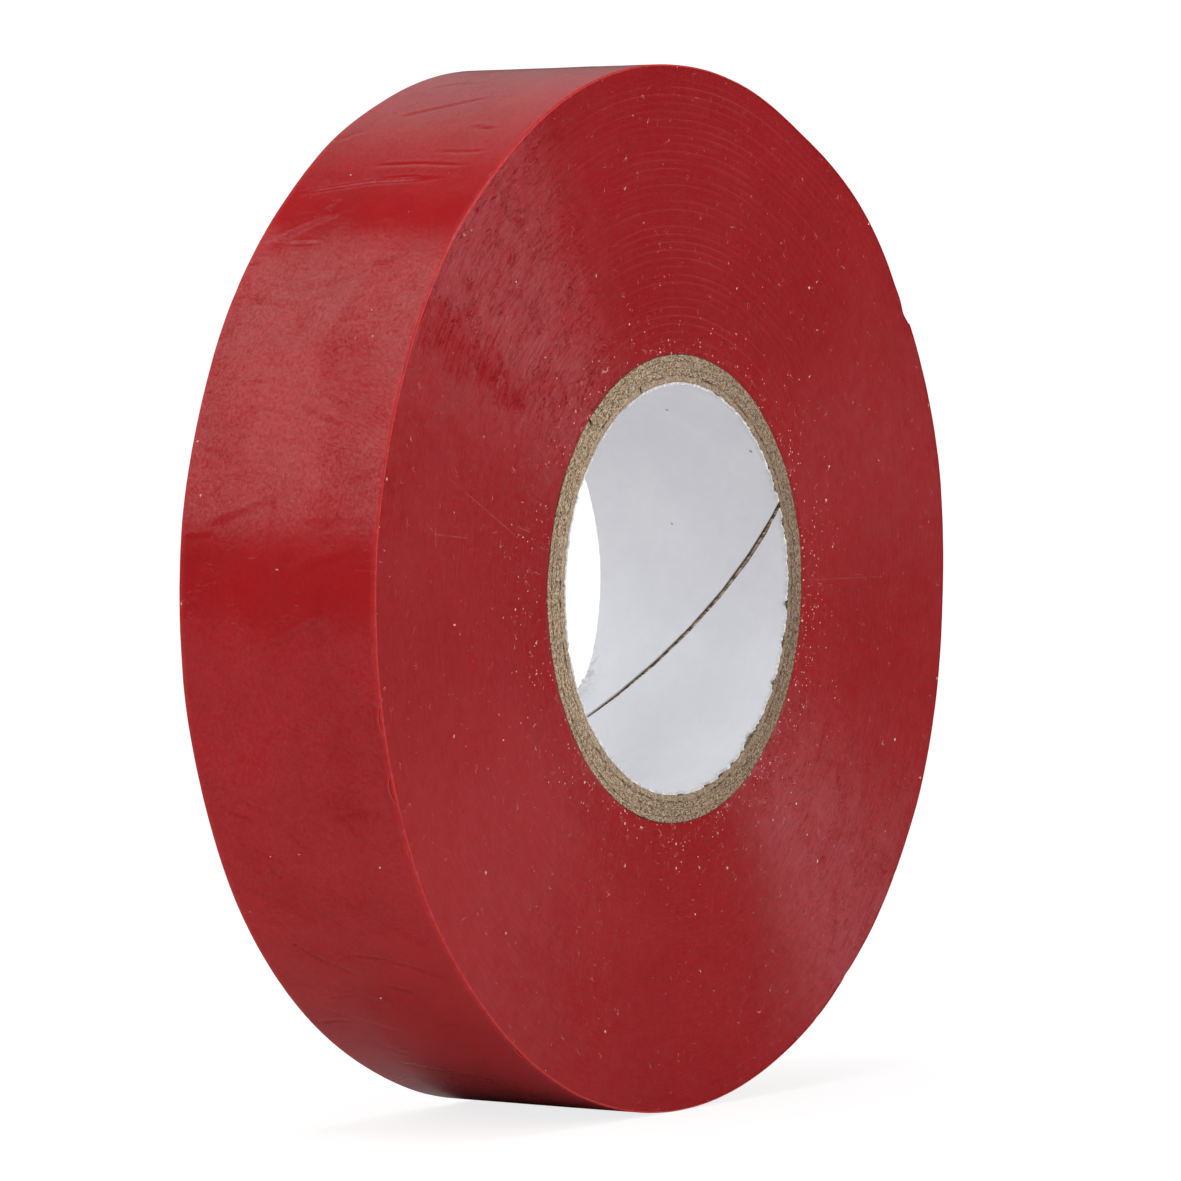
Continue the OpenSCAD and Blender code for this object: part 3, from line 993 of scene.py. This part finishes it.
def matt_side(theta, radius):
    """Strength of the rubbed dull places on the front slit side, which get painted shade; below 0
    where glossier, with painted sheen.
    """
    x, z = radius * np.cos(np.radians(theta)), radius * np.sin(np.radians(theta))
    out = np.zeros_like(theta)
    wobble = .30 * ring_noise(theta, radius / 2.0, cells=110, seed=91, octaves=3, falloff=1.0)
    for (angle0, radius0, half0), (angle1, radius1, half1) in zip(RUBBED_LINE, RUBBED_LINE[1:]):
        gap, share, _ = to_segment(x, z, on_side(angle0, radius0), on_side(angle1, radius1))
        dist = gap / (half0 + share * (half1 - half0))
        out = np.maximum(out, 1 - smooth(dist + wobble, .15, 1.75))
    # a dull sector, painted darker as painted shade, with a fairly sharp side at 116-120 degrees
    wavy = 1.3 * ring_noise(theta, radius / 3.0, cells=60, seed=95, octaves=3, falloff=1.0)
    angle = np.mod(theta, 360) + wavy
    out = out + (.50 * (1 - smooth(angle, 116.5, 120.5)) * smooth(angle, 74, 102)
                 * smooth(radius, 20, 24))
    # two sectors that are a little glossier and get painted sheen
    out = out - (.50 * smooth(angle, 299, 304) * (1 - smooth(angle, 322, 344))
                 * smooth(radius, 20, 25))
    return out - .85 * bell(wrap180(theta - 211), 25) * smooth(radius, 21, 27)


def pack_side(stations, shares, sign, seed, turns, heights, half):
    """Points and attributes of one slit side, from the core out; sign -1 is the front."""
    theta, share = np.meshgrid(stations, shares, indexing="ij")
    rim = pack_radius(theta, np.full_like(theta, sign * HALF_W))
    radius = PACK_IN_R + (rim - PACK_IN_R) * share
    layer = SPAN * share
    relief, ridge = side_relief(theta, layer, radius, seed, turns, heights, half)
    y = HALF_W + relief * smooth(share, 0, .02) - 0.045
    # rounded outer corner shared with the last turn, and a soft inner corner at the core
    y = y - corner_drop(rim + TAPE_T - radius) * .5
    from_core = radius - PACK_IN_R
    soft = 0.6 + .4 * ring_noise(theta, layer, cells=24, seed=seed + 30)
    y = y - .16 * bell(from_core, .20) * soft

    # where proud turns get their painted highlight, strongest toward the top
    ring_highlight_zone = 0.10 + 0.90 * bell(wrap180(theta - 84), 34)
    # the sectors that get painted sheen; nicks, blots and strokes are also kept to them
    sheen_sector_zone = (np.exp(-(wrap180(theta - 133.5) / 18) ** 6)
                  + .22 * bell(wrap180(theta - 180), 28)
                  + .56 * np.exp(-(wrap180(theta + 40) / 19) ** 6) + .08)
    clumps = smooth(ring_noise(theta, layer / 5, cells=12, seed=seed + 41), -.2, .6)
    dust_zone = (np.exp(-from_core / 4.5) * (.9 + .5 * clumps) + .05
                 + .30 * bell(rim - radius, .6))
    angle = np.radians(theta)
    return {"points": polar(theta, radius, sign * y),
            "polar": np.stack([layer, np.cos(angle), np.sin(angle)], -1),
            "zone": np.stack([ring_highlight_zone, sheen_sector_zone, dust_zone], -1),
            "ridge": ridge,
            "matt": matt_side(theta, radius) if sign < 0 else 0 * theta}


def pack_piece():
    """The wound tape as one ring: front side, outside, back side and bore."""
    stations = np.arange(PACK_STATIONS) * 360.0 / PACK_STATIONS
    front_seed, back_seed = 501, 777
    turns, heights = proud_turns(front_seed, mean=.665, jitter=.055)
    front_rows = side_rows(turns, second=.08, offsets=(-.10, 0, .10, .33), clear=.5,
                           rim_gaps=(.40, .26, .16, .09, .035, 0))
    front = pack_side(stations, front_rows, -1, front_seed, turns, heights, half=.10)
    turns, heights = proud_turns(back_seed, mean=1.05, jitter=.20)
    back_rows = side_rows(turns, second=.15, offsets=(0, .5), clear=.6,
                          rim_gaps=(.35, .2, .08, 0))
    back = pack_side(stations, back_rows, 1, back_seed, turns, heights, half=.30)

    outer_y = np.concatenate([[-HALF_W + .25, -HALF_W + 1.2],
                              np.linspace(-HALF_W + 3, HALF_W - 3, 4),
                              [HALF_W - 1.2, HALF_W - .25]])
    theta, y = np.meshgrid(stations, outer_y, indexing="ij")
    outside = polar(theta, pack_radius(theta, y) - 0.004, y)
    theta, y = np.meshgrid(stations, [HALF_W - .3, 0, -HALF_W + .3], indexing="ij")
    bore = polar(theta, PACK_IN_R, y)

    def ring(key, between, last):
        return np.concatenate([front[key], between, back[key][:, ::-1], last], 1)

    loop = ring("points", outside, bore)
    attrs = {}
    for key in ("polar", "zone", "ridge", "matt"):
        tail = front[key].shape[2:]
        attrs[key] = ring(key, np.zeros(outside.shape[:2] + tail), np.zeros(bore.shape[:2] + tail))
    loop_len = loop.shape[1]
    ob = build("wound_tape", loop.reshape(-1, 3).astype(np.float32),
               loop_faces(PACK_STATIONS, loop_len, True).tolist(), attrs, [FACE, FILM],
               sharp_deg=40)
    # film on the outside, which shows when the end is peeled
    column = np.arange(loop_len)
    film = (column >= len(front_rows) - 1) & (column < len(front_rows) + len(outer_y))
    use_second_material(ob, film, PACK_STATIONS)
    return ob


fit(pack_piece(), "tape_pack")


# ---------------------------------------------------------------- the core
LEAD = 92.0                                # mm along the axis for one turn of a ply's seam
LINER_SEAM = 23.3                          # angle of each seam at the front, degrees
PLY_SEAMS = (109.4, 262.0, 190.3, 133.6)
PLY_GAPS = (.10, .16, .20, .30)            # mm
PLY_STATIONS = 1300

# Rows along a ply, as shares of the half width
PLY_ROWS = np.concatenate([[-.998, -.985, -.95, -.9, -.82], np.linspace(-.6, .6, 5),
                           [.8, .9, .95, .985, .998]])

# Torn places of the liner's front edge: angle, half-width in degrees, depth in mm
TEARS = [
    (304.2, 2.0, .16), (311.4, 3.4, .46), (292.4, 3.2, .26), (285.0, 2.0, .22), (253.5, 3.6, .24),
    (246.0, 2.4, .20), (353.6, 1.8, .30), (342.8, 2.4, .18), (17.5, 1.4, .22), (323.7, 3.0, .14),
    (307.5, 1.6, .24), (121.3, 3.6, .42), (134.8, 2.4, .34), (299.0, 1.2, .32), (271.0, 1.6, .20),
    (28.0, 1.2, .20), (330.0, 1.6, .28), (150.0, 3.0, .25), (218.0, 2.5, .3), (196.0, 1.5, .2),
    (70.0, 2.0, .2)]


def seam_angle(front, y):
    """Angle of a ply's seam at y: a slanting flat cut, written as an angle."""
    half = 360 / LEAD * WIDTH / 2
    sine = np.sin(math.radians(half))
    return front - half + np.degrees(np.arcsin(np.clip(-y / HALF_W * sine, -1, 1)))


def ply_faces(rows_end, loop_len):
    """Faces of a ply: the open tube, then the walls of its seam gap."""
    along = len(PLY_ROWS)
    faces = loop_faces(PLY_STATIONS, loop_len, False).tolist()
    out = np.concatenate([[rows_end - 1], rows_end + np.arange(along), [rows_end + along]])
    inside = np.concatenate([[0], loop_len - 1 - np.arange(along), [2 * rows_end + along - 1]])
    for station, turn in ((0, 1), (PLY_STATIONS - 1, -1)):
        base = station * loop_len
        quads = base + np.stack([inside[:-1], out[:-1], out[1:], inside[1:]], -1)[:, ::turn]
        faces += quads.tolist()
        # thin strips at the front and back ends
        for first in (base, base + rows_end + along):
            faces.append(list(range(first, first + rows_end))[::-turn])
    return faces


def tear_edge(theta, y, out_y, out_r, end_front, seed, torn):
    """Ragged front edge of the liner, and a fold at its back edge: new y and radius."""
    flap = torn * (ring_noise(theta, 3.5, cells=300, seed=seed + 33, octaves=3) + .1
                   + .55 * smooth(ring_noise(theta, 7.5, cells=60, seed=seed + 37), .35, .8))
    for angle, half, depth in TEARS:
        dist = (np.abs(wrap180(theta - angle)) / half
                + .55 * ring_noise(theta, 5.5, cells=300, seed=seed + 39, octaves=3))
        ragged = .70 + .55 * ring_noise(theta, 9.5, cells=640, seed=seed + 43, octaves=2)
        flap = flap + depth * (1 - smooth(dist, .30, 1.05)) * ragged
    flap = np.maximum(flap, -.04)
    # the paper stands up a little beside each tear
    curl = (.10 * bell(flap - .15, .12)
            * smooth(ring_noise(theta, 2.5, cells=90, seed=seed + 47), .0, .5))
    out_y = out_y + smooth(-y, HALF_W - 1.4, HALF_W) * flap
    out_r = out_r - curl * end_front
    # a flap of paper folded into the bore at the back edge
    fold = bell(wrap180(theta + 35), 5.5) * smooth(y, HALF_W - 1.1, HALF_W)
    ragged = .8 + .4 * ring_noise(theta, 1.5, cells=160, seed=seed + 51, octaves=2)
    return out_y, out_r - .70 * fold * ragged


def ply_shade(theta, radius, y, r_in, r_out, end_front):
    """Darkening of a chipboard ply's front end."""
    # dark where the plies meet, and painted shadow along the tape
    tape_shadow = .75 * smooth(radius, r_out - .05, r_out) * (r_out > CORE_R - .01)
    shade = end_front * (tape_shadow + .30 * (1 - smooth(radius, r_in, r_in + .06)))
    # darker on the side toward 350 degrees
    toward = .5 + .5 * np.cos(np.radians(theta - 350))
    return np.minimum(shade + .43 * end_front * (y < 0) * toward ** 1.5, 1)


def ply_piece(name, r_in, r_out, seam, gap, rows_end, seed, recess, ragged, materials, torn=0.0):
    """One spirally wound ply: a tube with an open helical butt gap and rough cut ends."""
    thick = r_out - r_in
    # section as a closed loop: front end (inside to outside), outside, back end, inside
    across = np.linspace(0, 1, rows_end)
    along = len(PLY_ROWS)
    section_r = np.concatenate([r_in + thick * across, np.full(along, r_out),
                                r_out - thick * across, np.full(along, r_in)])
    section_y = np.concatenate([np.full(rows_end, -1.0), PLY_ROWS,
                                np.full(rows_end, 1.0), PLY_ROWS[::-1]]) * HALF_W
    share, radius = np.meshgrid(np.linspace(0, 1, PLY_STATIONS), section_r, indexing="ij")
    y = np.broadcast_to(section_y, share.shape)
    half_gap = math.degrees(gap / 2 / (math.cos(math.radians(48)) * (r_in + r_out) / 2))
    theta = seam_angle(seam, y) + half_gap + share * (360 - 2 * half_gap)
    # the seam's edges are a little uneven
    fray = (np.exp(-share * 600) - np.exp(-(1 - share) * 600)) * 0.16
    theta = theta + fray * value_noise(y * 1.9 + 30, float(seed % 7), seed + 91)

    end_front = smooth(-y, HALF_W - .4, HALF_W)
    end_back = smooth(y, HALF_W - .4, HALF_W)
    rough = (ring_noise(theta, radius * 3.0, cells=620, seed=seed, octaves=2) * .5
             + ring_noise(theta, radius * 1.3, cells=210, seed=seed + 5, octaves=2) * .5)
    slow = ring_noise(theta, radius * .3, cells=24, seed=seed + 8, octaves=2)
    inset = recess + .055 * rough + .05 * slow
    out_y = y + end_front * np.maximum(inset, .0) - end_back * np.maximum(inset * .8, .0)
    # the inner corner of the cut ends is ragged
    tear = ragged * (ring_noise(theta, .5, cells=420, seed=seed + 21, octaves=3) + .25)
    inner = np.clip((r_in + thick * .45 - radius) / (thick * .45), 0, 1)
    out_r = radius - np.maximum(tear, -.02) * inner * (end_front + .6 * end_back)
    if torn:
        out_y, out_r = tear_edge(theta, y, out_y, out_r, end_front, seed, torn)
        shade = .55 * bell(wrap180(theta + 30), 9) * smooth(y, HALF_W - 1.3, HALF_W - .1)
    else:
        shade = ply_shade(theta, radius, y, r_in, r_out, end_front)

    angle = np.radians(theta)
    from_seam = arc_mm(wrap180(theta - seam_angle(LINER_SEAM, y)), r_in)
    attrs = {"polar": np.stack([radius, 18 * np.cos(angle), 18 * np.sin(angle)], -1),
             "torn": end_front * smooth(-y, HALF_W - .25, HALF_W - .02),
             "seam": from_seam * math.cos(math.radians(49)),
             "shade": shade}
    return build(name, polar(theta, out_r, out_y).reshape(-1, 3),
                 ply_faces(rows_end, len(section_r)), attrs, materials, sharp_deg=55)


liner = ply_piece("white_liner", BORE_R, LINER_R, LINER_SEAM, gap=.44, rows_end=3, seed=61,
                  recess=.02, ragged=.06, materials=[PAPER], torn=.13)
fit(liner, "core_liner")
PLY_ROWS_END = 7
for i in range(1, 5):
    outer_r = PLY_R[i - 1]
    ply = ply_piece("chipboard_ply_%d" % i, outer_r - PLY_T, outer_r, PLY_SEAMS[i - 1],
                    gap=PLY_GAPS[i - 1], rows_end=PLY_ROWS_END, seed=200 + 31 * i,
                    recess=.06 if i < 4 else .10, ragged=.06 if i == 1 else .02,
                    materials=[CHIP_INNER, CHIP_BORE] if i == 1 else [CHIP])
    if i == 1:
        # its bore, seen through the liner's seam and tears, is darkened by glue and by painted
        # shadow along the seam
        bore_start = 2 * PLY_ROWS_END + len(PLY_ROWS)
        column = np.arange(bore_start + len(PLY_ROWS))
        use_second_material(ply, column >= bore_start - 1, PLY_STATIONS - 1)
    fit(ply, "core_ply_%d" % i)


# ---------------------------------------------------------------- floor and world
def floor_material():
    """Pale floor: white far out, a soft contact shadow near the roll, dim in reflections."""
    net = Graph(bpy.data.materials.new("floor_pale"))
    light_path = net.node("LightPath")
    is_camera = Value(net, light_path.outputs["Is Camera Ray"])
    is_glossy = Value(net, light_path.outputs["Is Glossy Ray"])
    place = net.value("NewGeometry", out="Position")
    # seen by the camera: shaded grey plus a glow, turning to plain white 0.1-0.3 m out
    far = net.vector_math("LENGTH", place).step(.10, .30)
    near = net.value("AddShader", net.value("BsdfDiffuse", Color=(.34, .34, .34)),
                     net.value("Emission", Color=(1, 1, 1), Strength=.80))
    white = net.value("Emission", Color=(1, 1, 1), Strength=1.05)
    seen = net.value("MixShader", far, near, white)
    # in reflections: grey, darker toward +X -Y and nearly black beyond half a metre
    bounced = net.value("BsdfDiffuse", Color=(.80, .80, .80))
    gone = net.vector_math("LENGTH", place).step(.44, .58)
    toward = net.vector_math("DOT_PRODUCT", place, (.83, -.55, 0))
    dark = gone.max(toward.step(.01, .09, to=(0, .35)))
    mirrored = net.value("BsdfDiffuse", Color=net.mix((.40, .40, .41), (.02, .02, .02), by=dark))
    unseen = net.value("MixShader", is_glossy, bounced, mirrored)
    net.node("OutputMaterial", net.value("MixShader", is_camera, unseen, seen))
    return net.owner


def make_floor(half=3.0):
    """A square floor, half its side in metres, at the lowest point of the last turn."""
    low_z = min(v.co.z for v in wrap.data.vertices)
    mesh = bpy.data.meshes.new("floor")
    corners = [(-half, -half, low_z), (half, -half, low_z), (half, half, low_z),
               (-half, half, low_z)]
    mesh.from_pydata(corners, [], [(0, 1, 2, 3)])
    floor = bpy.data.objects.new("floor", mesh)
    bpy.context.scene.collection.objects.link(floor)
    mesh.materials.append(floor_material())


def make_world():
    """White to the camera, dim in reflections, a faint even fill for everything else."""
    world = bpy.data.worlds.new("studio")
    bpy.context.scene.world = world
    net = Graph(world)
    light_path = net.node("LightPath")

    def background(color, strength):
        return net.value("Background", Color=color, Strength=strength)

    fill = net.value("MixShader", Value(net, light_path.outputs["Is Glossy Ray"]),
                     background((.97, .98, 1), strength=.28),
                     background((.9, .92, 1), strength=.03))
    seen = net.value("MixShader", Value(net, light_path.outputs["Is Camera Ray"]), fill,
                     background((1, 1, 1), strength=1.05))
    net.node("OutputWorld", seen)


make_floor()
make_world()


# ---------------------------------------------------------------- lights
def hot_centre(light, fall=.42):
    """Soft boxes are brighter in the middle than at their edges."""
    net = Graph(light, clear=False)
    emission = next(n for n in net.tree.nodes if n.type == "EMISSION")
    across = net.value("NewGeometry", out="Parametric").split()[:2]
    offsets = [side - .5 for side in across]
    first, second = [net.math("MULTIPLY_ADD", d * d, -4 * fall, 1.0) for d in offsets]
    net.put(emission.inputs["Strength"], first * second)


def area_light(name, centre, rotation, width, height, radiance, color=(1, 1, 1)):
    """A rectangle of light, hidden from the camera; its power follows from its area."""
    light = bpy.data.lights.new(name, "AREA")
    light.shape = "RECTANGLE"
    light.size, light.size_y = width, height
    light.color = color
    light.energy = radiance * math.pi * width * height
    ob = bpy.data.objects.new(name, light)
    ob.location = centre
    ob.rotation_mode = "QUATERNION"
    ob.rotation_quaternion = rotation
    ob.visible_camera = False
    bpy.context.scene.collection.objects.link(ob)
    return light


def upright_panel(name, bearing, distance, z_low, z_high, width, radiance):
    """A vertical soft panel at a bearing round Z (0 is +X, 90 is +Y), facing the roll."""
    angle = math.radians(bearing)
    centre = Vector((distance * math.cos(angle), distance * math.sin(angle), (z_low + z_high) / 2))
    facing = Vector((-math.cos(angle), -math.sin(angle), 0))
    light = area_light(name, centre, facing.to_track_quat("-Z", "Y"), width, z_high - z_low,
                       radiance)
    hot_centre(light)


def aimed_panel(name, bearing, rise, distance, across=None, **looks):
    """A soft panel at a bearing and rise in degrees, facing the roll; `across` is its width way."""
    turn, lift = math.radians(bearing), math.radians(rise)
    centre = Vector((math.cos(turn) * math.cos(lift), math.sin(turn) * math.cos(lift),
                     math.sin(lift))) * distance
    if across is None:
        rotation = (-centre).to_track_quat("-Z", "Y")
    else:
        z = centre.normalized()
        x = (Vector(across) - z * Vector(across).dot(z)).normalized()
        rotation = Matrix((x, z.cross(x), z)).transposed().to_quaternion()
    area_light(name, centre, rotation, **looks)


ROSE_WHITE = (1, .97, 1.04)
upright_panel("softbox_left", bearing=119, distance=.90, z_low=.15, z_high=1.42, width=.96,
              radiance=1.58)
upright_panel("softbox_back_right", bearing=53, distance=.95, z_low=.20, z_high=1.45, width=.80,
              radiance=.48)
aimed_panel("key_front", bearing=-61.4, rise=21, distance=1.2, width=.42, height=.62,
            radiance=4.8, color=ROSE_WHITE, across=(.713, 0, .70))
aimed_panel("top", bearing=180, rise=78, distance=1.2, width=.70, height=.70, radiance=2.95)
aimed_panel("fill_front_left", bearing=205, rise=46, distance=1.2, width=1.1, height=.9,
            radiance=.30)
aimed_panel("fill_low_left", bearing=250, rise=8, distance=.55, width=.45, height=.30,
            radiance=1.38)
aimed_panel("fill_back_left", bearing=158, rise=26, distance=1.2, width=.7, height=.6,
            radiance=.85)
aimed_panel("card_right", bearing=-17.5, rise=1.5, distance=1.1, width=.12, height=.36,
            radiance=1.35, color=ROSE_WHITE, across=(-.34, 0, .94))


# ---------------------------------------------------------------- camera and view
def make_camera():
    """A long lens aimed at the roll's centre, from the front and the -X side, a little above."""
    data = bpy.data.cameras.new("camera")
    camera = bpy.data.objects.new("camera", data)
    bpy.context.scene.collection.objects.link(camera)
    bpy.context.scene.camera = camera
    swing, rise = math.radians(-56.37), math.radians(1.95)
    distance = 12.52 * ROLL_R * MM
    back = Vector((math.sin(swing) * math.cos(rise), -math.cos(swing) * math.cos(rise),
                   math.sin(rise)))
    camera.location = back * distance
    camera.rotation_mode = "QUATERNION"
    camera.rotation_quaternion = (-back).to_track_quat("-Z", "Y")
    data.sensor_width = 36
    data.lens = 197.923793
    data.shift_x, data.shift_y = .0057832346, -.00319221
    data.clip_start, data.clip_end = .01, 20


make_camera()
view = bpy.context.scene.view_settings
view.view_transform = "Standard"
view.look = "None"
view.exposure = 0
view.gamma = 1
